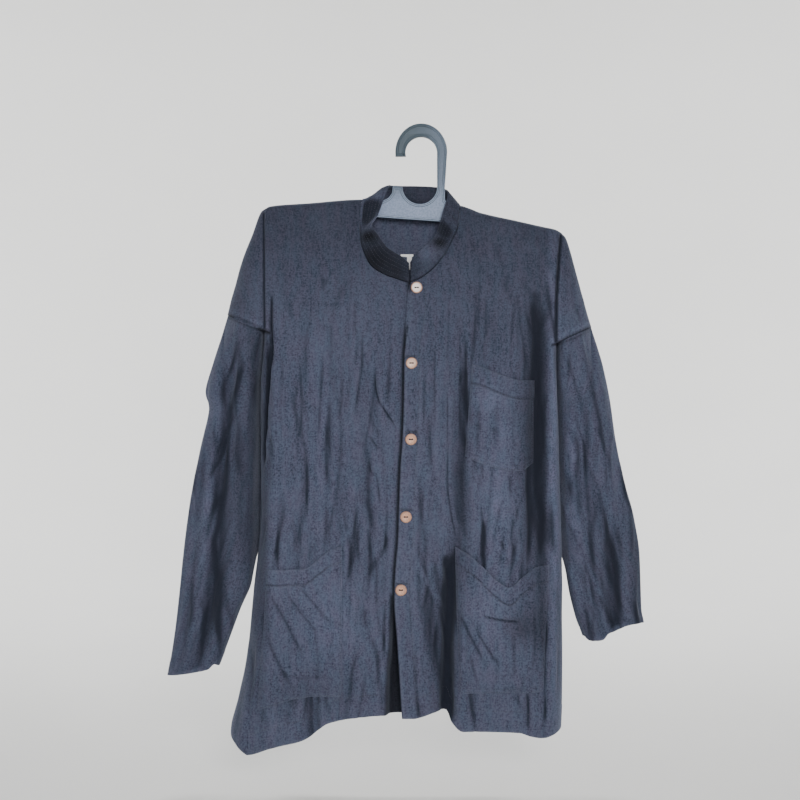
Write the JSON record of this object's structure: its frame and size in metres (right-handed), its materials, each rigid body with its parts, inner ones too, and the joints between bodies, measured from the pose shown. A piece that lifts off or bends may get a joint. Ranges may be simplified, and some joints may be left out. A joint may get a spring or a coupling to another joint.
{
  "type": "long-sleeved work shirt on a coat hanger",
  "caption": "Indigo cotton work shirt with a stand collar, buttoned front and patch pockets, hanging on a moulded coat hanger with an open hook.",
  "frame": {"origin": "inside top of the hanger's hook, where a rail or peg carries it", "axes": "-Z down the hanging shirt, -Y out of its buttoned front, +X to the viewer's right, which is the wearer's left"},
  "size_m": [0.6344, 0.0927, 0.8274],
  "materials": {
    "cloth": "matt indigo-black plain-weave cotton",
    "cloth_fine": "matt indigo-black cotton, doubled and stitched in rows",
    "button": "satin tan, turned",
    "label": "bare white woven tape",
    "plastic": "blue-grey moulded, semi-gloss"
  },
  "bodies": {
    "root": {"front_right": "cloth", "front_left": "cloth", "back": "cloth", "sleeve_right": "cloth", "sleeve_left": "cloth", "collar_band": "cloth_fine", "pocket_chest": "cloth", "pocket_low_left": "cloth", "pocket_low_right": "cloth", "button_1": "button", "button_2": "button", "button_3": "button", "button_4": "button", "button_5": "button", "neck_label": "label", "hanger": "plastic"}
  },
  "joints": []
}
